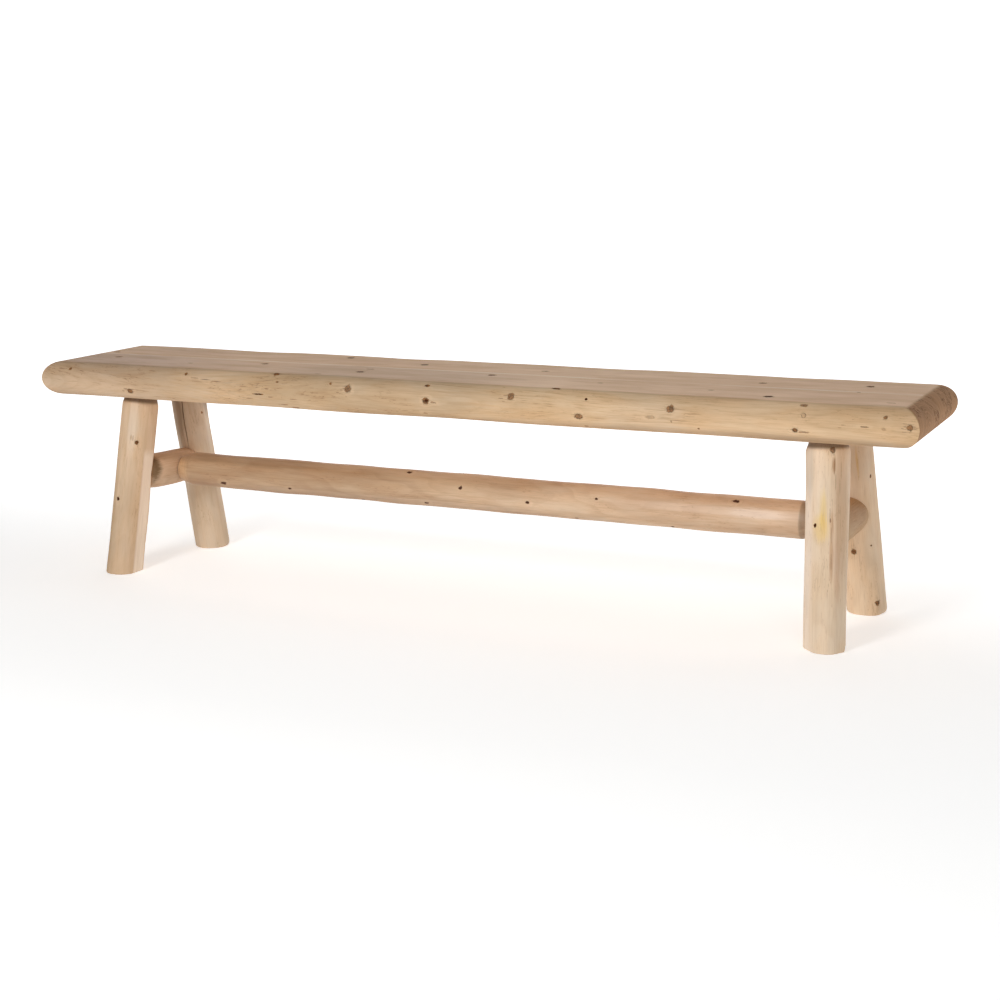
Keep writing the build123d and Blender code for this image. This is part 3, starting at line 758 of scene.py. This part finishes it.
def make_seat_log(name, side, seed, finish, layers):
    """Seat log as one grid: round it runs the planed top, the round side, the planed underside and the seam face, and
    along it the sections of the bench. The side is a wavering circle cut by the planes height = +-HALF_THICK, so its
    top line wanders, and past END_FLAT that height falls as HALF_THICK cos(angle) while the section moves out by
    HALF_THICK sin(angle). Side is -1 for the front log and 1 for the rear one."""
    angle = np.radians(np.concatenate([np.linspace(2, 84, 20), [86.5, 88.4, 89.5, 90]]))
    tail = np.minimum(END_FLAT + HALF_THICK * np.sin(angle), END_TIP)
    x = np.concatenate([-tail[::-1], np.linspace(-END_FLAT, END_FLAT, 420), tail])
    half = np.concatenate([(HALF_THICK * np.cos(angle))[::-1], np.full(420, HALF_THICK), HALF_THICK * np.cos(angle)])
    half[[0, -1]] = 0.0
    arc_share = np.concatenate([[0, 0.004, 0.01, 0.02], np.linspace(0.035, 0.965, 46), [0.98, 0.99, 0.996, 1]])
    flat_share = np.concatenate([[0, 0.022, 0.03], np.linspace(0.06, 0.88, 20),
                                 [0.915, 0.945, 0.965, 0.98, 0.99, 0.996]])
    seam_share = np.linspace(0, 1, 12)
    X, H = x[:, None], half[:, None]

    def circle(phi):
        """Radius of the side round at each section and angle."""
        return SIDE_RADIUS + uneven(seed, X, phi, 0.42, 520, 150, 3)
    top_phi = np.full_like(X, np.pi / 2)
    low_phi = -top_phi
    for _ in range(5):
        top_phi = np.arcsin(np.clip(H / circle(top_phi), 0, 1))
        low_phi = -np.arcsin(np.clip(H / circle(low_phi), 0, 1))
    phi = top_phi + (low_phi - top_phi) * arc_share
    R = circle(phi)
    side_a, side_h = ROUND_CENTRE + R * np.cos(phi), np.clip(R * np.sin(phi), -H, H)
    ease = np.minimum(SEAM_EASE, H)
    top_a = ease + (side_a[:, :1] - ease) * flat_share
    low_a = ease + (side_a[:, -1:] - ease) * flat_share[::-1]
    seam_h = (H - ease) * (2 * seam_share - 1)
    across = np.concatenate([top_a, side_a, low_a, np.zeros_like(seam_h)], 1)
    height = np.concatenate([H * np.ones_like(top_a), side_h, -H * np.ones_like(low_a), seam_h], 1)
    place = np.concatenate([top_a - side_a[:, :1] + (TOP_LINE - top_phi) * SIDE_SCALE, (TOP_LINE - phi) * SIDE_SCALE,
                            (TOP_LINE - low_phi) * SIDE_SCALE + side_a[:, -1:] - low_a, 400 + seam_h], 1)
    xs = np.broadcast_to(X, across.shape)
    points = np.stack([xs, SEAM_Y + side * across, SEAT_MIDDLE + height], -1)
    fade = np.concatenate([np.ones(len(flat_share)), 1 - smooth(0, 0.05, arc_share) * smooth(0, 0.012, 1 - arc_share),
                           np.ones(len(flat_share)), np.zeros(len(seam_share))])
    out = np.clip((np.abs(xs) - END_FLAT) / HALF_THICK, 0, 1)
    # painted shade: a thin darker band along the arris just below the top line, drawn in the drying check's dark colour
    arris = np.concatenate([np.zeros(len(flat_share)), smooth(0, 0.02, arc_share) * (1 - smooth(0.03, 0.09, arc_share)),
                            np.zeros(len(flat_share) + len(seam_share))])
    # painted highlight: the two top columns beside the seam get 0.9 more in the planed channel, drawn as a pale line
    seam = np.zeros(across.shape[1])
    seam[:2] = 0.9
    planed = (fade + seam) * (1 - smooth(0.08, 0.25, out))
    end = fade * smooth(0.10, 0.32, out)
    flat = points.reshape(-1, 3)
    pith_y, pith_z = SEAM_Y + side * 88, SEAT_MIDDLE - 6
    wander = lambda k, size: uneven(seed + k, flat[:, 0], 0, size, 1400, 500, 0, 5)
    grain = np.stack([flat[:, 0] + (END_FLAT + HALF_THICK), flat[:, 1] - pith_y + wander(60, 9),
                      flat[:, 2] - pith_z + wander(61, 5)], -1) * MM
    data = {"grain": grain, "finish": np.stack([planed, end, arris * 0.16 + 0 * end], -1).reshape(-1, 3)}
    data.update(knot_data(spread(SEAT_KNOTS[side]), layers, xs.reshape(-1), place.reshape(-1), lambda d: d))
    build(name, flat, ring_faces(*across.shape), data, finish,
          edge=32)


# ---------------------------------------------------------------- making it all

# tints, some real stain marks and some painted light and shade, each noted: colour ratio, place along, then two offsets
# from the pith, half length, half width, strength. The offsets go toward the rear and up on a seat log, to the front
# and
# +X on a leg, to the front and down on the stretcher, and to the stretcher and down (up on the right one) on a cross
# log.
# painted light and shade on the planed tops: a painted sheen, lighter and paler, right of the middle, and darker toward
# the left end
TOP_LIGHT_AND_SHADE = [((1.10, 1.16, 1.21), 1150, 0, 185, 420, 200, 1.0), ((0.88, 0.88, 0.91), 120, 0, 185, 300, 200, 1.0)]
# painted shade and light on the front log's round side: darker along its lower edge over the right half, darker at the
# left end and around the middle, and a painted highlight at x = 430 mm
SEAT_FRONT_LIGHT_AND_SHADE = [((0.72, 0.72, 0.76), 1560, -68, -31, 600, 18, 0.9), ((0.85, 0.87, 0.95), 0, -50, 0, 520, 300, 1.0),
               ((1.03, 1.09, 1.2), 1345, -80, 0, 90, 60, 0.7), ((0.84, 0.86, 0.89), 780, -50, 0, 330, 300, 1.0)]
layers = len(spread(SEAT_KNOTS[-1]))
make_seat_log("seat_front_log", -1, 41, cedar(
    "cedar seat front", paint(224, 194, 158), paint(208, 176, 138), layers, 0.0, True, 2.4, 0.85,
    SEAT_FRONT_LIGHT_AND_SHADE + TOP_LIGHT_AND_SHADE, 1.0, 6.0, 0.1), layers)
layers = len(spread(SEAT_KNOTS[1]))
make_seat_log("seat_rear_log", 1, 42, cedar(
    "cedar seat rear", paint(220, 189, 150), paint(206, 171, 131), layers, 3.1, True, 2.4, 1.0,
    TOP_LIGHT_AND_SHADE, 0.7, 6.0, 0.1), layers)

# light wood and tan wood of each leg, then its tints: real stain marks and also painted light and shade, as noted
LEG_WOOD_AND_SHADE = {
    "leg_front_left": (paint(226, 199, 170), paint(211, 182, 150),
                       # painted shade: the lower front darker; painted light: a paler strip high on the front
                       [((0.88, 0.87, 0.85), 20, 36, 8, 190, 60, 1.0), ((1.0, 1.04, 1.09), 315, 36, 10, 60, 16, 1.0),
                        # a real dark mark beside a knot, then painted shade down the -X side
                        ((0.72, 0.62, 0.52), 286, 37, 7, 8, 3, 0.8), ((0.84, 0.80, 0.73), 130, 30, -24, 160, 14, 1.0)]),
    "leg_rear_left": (paint(217, 195, 170), paint(203, 181, 155),
                      # painted shade high on the front-left facet, and the whole top darker, a painted shadow under the
                      # seat
                      [((0.54, 0.49, 0.45), 325, 33, -16, 90, 24, 1.0), ((0.86, 0.85, 0.84), 372, 36, 10, 62, 60, 1.0),
                       # painted shadow of the seat on the upper +X side, then a cooler, paler tone higher on the +X
                       # side
                       ((0.50, 0.46, 0.43), 372, -14, 35, 74, 27, 1.0), ((1.0, 1.07, 1.16), 300, 10, 36, 90, 40, 1.0),
                       ((0.94, 0.96, 0.97), 60, 10, 36, 130, 50, 1.0)]),
    "leg_front_right": (paint(238, 218, 194), paint(228, 205, 177),
                        [((1.03, 0.97, 0.68), 250, 39, 2, 46, 9, 0.9), ((1.02, 0.96, 0.68), 218, 38, -2, 30, 17, 0.9),
                         ((0.74, 0.60, 0.52), 228, 35, 17, 34, 5, 1.0), ((0.80, 0.68, 0.60), 165, 35, 16, 50, 4, 1.0),
                         ((0.92, 0.84, 0.80), 150, 30, 25, 70, 9, 0.9),
                         ((0.84, 0.76, 0.70), 250, 22, 32, 150, 18, 1.0), ((0.62, 0.48, 0.38), 328, 33, 20, 22, 5, 1.0),
                         ((0.74, 0.62, 0.54), 300, 35, 17, 60, 3.5, 0.9), ((1.14, 1.16, 1.2), 318, 20, 34, 40, 3, 1.0),
                         # painted light: the -X side lighter and paler
                         ((1.04, 1.09, 1.19), 150, 22, -32, 220, 20, 1.0),
                         ((0.82, 0.84, 0.86), 330, 26, -30, 70, 20, 1.0)]),
    "leg_rear_right": (paint(234, 210, 182), paint(222, 196, 165),
                       # a real yellow-orange streak, then a painted shadow of the seat on the top of the leg
                       [((1.0, 0.86, 0.60), 312, 35, 13, 40, 4, 1.0), ((0.88, 0.90, 0.92), 350, 30, 20, 80, 60, 1.0)]),
}
for number, (name, log) in enumerate(LEGS.items()):
    layers = len(spread(by_arc(LEG_KNOTS[name], sum(log.radii) / 2)))
    light, tan_wood, stains_and_shading = LEG_WOOD_AND_SHADE[name]
    make_leg(name, log, cedar("cedar " + name.replace("_", " "), light, tan_wood, layers, 5.0 + number, streaks=0.5,
                              stains_and_shading=stains_and_shading), layers)

CROSS_STAINS_AND_SHADE = {
    # painted shadow of the front left leg on the front end, then a cooler tone over the whole log
    "cross_log_left": [((0.30, 0.26, 0.20), 22, 28, -18, 20, 46, 1.0), ((1.0, 1.06, 1.18), 105, 0, 0, 400, 300, 1.0),
                       # painted shade: a darker band on the upper +X side near the front end
                       ((0.86, 0.84, 0.80), 80, 22, -28, 60, 12, 0.8)],
    # painted shade: the whole right cross log darker, as it stands in shade
    "cross_log_right": [((0.88, 0.84, 0.75), 105, 0, 0, 400, 300, 1.0)],
}
for number, (name, log) in enumerate(CROSS.items()):
    layers = len(spread(by_arc(CROSS_KNOTS[name], CROSS_RADIUS)))
    wood = cedar("cedar " + name.replace("_", " "), paint(212, 180, 146), paint(194, 160, 126), layers, 11.0 + number,
                 stains_and_shading=CROSS_STAINS_AND_SHADE[name])
    make_cross(name, log, (SHOULDER_WEST, SHOULDER_EAST)[number], wood, layers)

STRETCHER_STAINS_AND_LIGHT = [
    # painted shade over the west half, painted light toward the east end
    ((0.82, 0.79, 0.75), 0, 0, 0, 820, 400, 1.0), ((1.04, 1.05, 1.08), 1290, 0, 0, 300, 200, 1.0),
    # painted shade along the underside, west and east
    ((0.72, 0.66, 0.61), 250, 12, 33, 850, 38, 1.0), ((0.84, 0.82, 0.80), 1200, 12, 33, 600, 38, 1.0),
    # painted shade along the whole top under the seat, and on the upper front toward the west
    ((0.83, 0.84, 0.85), 720, 3, -35, 850, 36, 1.0), ((0.90, 0.86, 0.80), 300, 32, -15, 750, 22, 1.0),
    # painted highlight: a small bright gloss spot on the front near the east end; painted shade high on the front at
    # the west end
    ((1.14, 1.24, 1.40), 1285, 34, -11, 60, 12, 1.0), ((0.74, 0.72, 0.70), 150, 16, -31, 230, 20, 1.0),
    # paler cut wood on the west neck
    ((1.18, 1.16, 1.1), 8, 30, 8, 22, 40, 1.0)]
layers = len(spread(by_arc(STRETCHER_KNOTS, STRETCHER_RADIUS)))
make_stretcher(cedar("cedar stretcher", paint(225, 198, 168), paint(209, 178, 146), layers, 14.0, streaks=1.1,
                     stains_and_shading=STRETCHER_STAINS_AND_LIGHT, shine=0.5), layers)


def dowel_wood():
    """Turned hardwood dowel: straight fibres along Y with a little tone between them."""
    t = Tree("birch dowel")
    place = t.make("ShaderNodeTexCoord", out="Object")
    fibre = t.noise(t.stretch(place, (700, 20, 700)), 1.0, 2.0)
    colour = t.mix(fibre, paint(226, 202, 168), paint(204, 174, 134))
    bump = t.make("ShaderNodeBump", None, {"Strength": 0.2, "Distance": 0.0003, "Height": fibre})
    return t.surface({"Base Color": colour, "Roughness": 0.45 + fibre * 0.15, "Normal": bump})


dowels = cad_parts["seat_dowels"]
for place in dowels.material_slots:
    place.material = dowel_wood()


# ---------------------------------------------------------------- studio

def make_floor():
    """Floor and backdrop as one sheet: level, then up in a quarter circle, a profile carried along X."""
    bend = np.radians(np.linspace(0, 90, 24))
    y = np.concatenate([[-9.0, -4.0, 0.0, 4.0], 9.0 + 3.0 * np.sin(bend), [12.0]])
    z = np.concatenate([[0.0, 0.0, 0.0, 0.0], 3.0 - 3.0 * np.cos(bend), [9.0]])
    x = np.linspace(-14, 14, 15)
    points = np.stack([np.repeat(x, len(y)), np.tile(y, len(x)), np.tile(z, len(x))], -1)
    i, j = np.meshgrid(np.arange(len(x) - 1), np.arange(len(y) - 1), indexing="ij")
    a = i * len(y) + j
    faces = np.stack([a, a + len(y), a + len(y) + 1, a + 1], -1).reshape(-1, 4)
    mesh = bpy.data.meshes.new("studio_floor")
    mesh.from_pydata(points.tolist(), [], faces.tolist())
    mesh.shade_smooth()
    t = Tree("studio floor")
    back = t.parts(t.make("ShaderNodeTexCoord", out="Object"))[1].step(-0.3, 1.3)
    glow = t.mix(back, (0.42, 0.42, 0.42, 1), (0.95, 0.95, 0.95, 1))
    mesh.materials.append(t.surface({"Base Color": (0.86, 0.86, 0.855, 1), "Roughness": 0.9,
                                     "Specular IOR Level": 0.1, "Emission Color": glow, "Emission Strength": 1.0}))
    place_in_scene("studio_floor", mesh)


make_floor()


def softbox(name, place, aim, size, power):
    """Large square soft light aimed at a point."""
    lamp = bpy.data.lights.new(name, "AREA")
    lamp.shape, lamp.size, lamp.size_y = "RECTANGLE", size[0], size[1]
    lamp.energy = power
    turn = (Vector(aim) - Vector(place)).to_track_quat("-Z", "Y").to_matrix().to_4x4()
    place_in_scene(name, lamp).matrix_world = Matrix.Translation(place) @ turn


softbox("key softbox", (-0.45, -3.1, 1.85), (-0.05, 0, 0.3), (0.8, 0.7), 43)
softbox("fill softbox", (1.9, -2.7, 1.7), (0.4, 0, 0.3), (1.8, 1.3), 14)
softbox("overhead softbox", (0.4, 0.3, 3.4), (0, 0, 0.3), (3.0, 2.0), 5)

world = bpy.data.worlds.new("studio air")
bpy.context.scene.world = world
world.use_nodes = True
world.node_tree.nodes["Background"].inputs["Color"].default_value = (1, 1, 1, 1)
world.node_tree.nodes["Background"].inputs["Strength"].default_value = 0.22

# ---------------------------------------------------------------- camera

AZIMUTH, PITCH, ROLL = radians(25.223), radians(12.087), radians(-0.728)
EYE = (1.48344, -3.01597, 0.90260)
FOCUS_PIXELS = 1722.6      # for a picture 1000 pixels wide


def make_camera():
    """Camera axes: forward from azimuth and pitch, then right and up turned by the roll about it."""
    forward = np.array([-np.sin(AZIMUTH) * np.cos(PITCH), np.cos(AZIMUTH) * np.cos(PITCH), -np.sin(PITCH)])
    level = np.array([np.cos(AZIMUTH), np.sin(AZIMUTH), 0.0])
    upright = np.cross(level, forward)
    right = np.cos(ROLL) * level + np.sin(ROLL) * upright
    up = -np.sin(ROLL) * level + np.cos(ROLL) * upright
    data = bpy.data.cameras.new("camera")
    data.sensor_width, data.sensor_fit = 36.0, "HORIZONTAL"
    data.lens = FOCUS_PIXELS / 1000 * 36.0
    data.clip_end = 100
    camera = place_in_scene("camera", data)
    turn = np.eye(4)
    turn[:3, 0], turn[:3, 1], turn[:3, 2], turn[:3, 3] = right, up, -forward, EYE
    camera.matrix_world = Matrix(turn.tolist())
    bpy.context.scene.camera = camera


make_camera()
bpy.context.scene.view_settings.view_transform = "Standard"
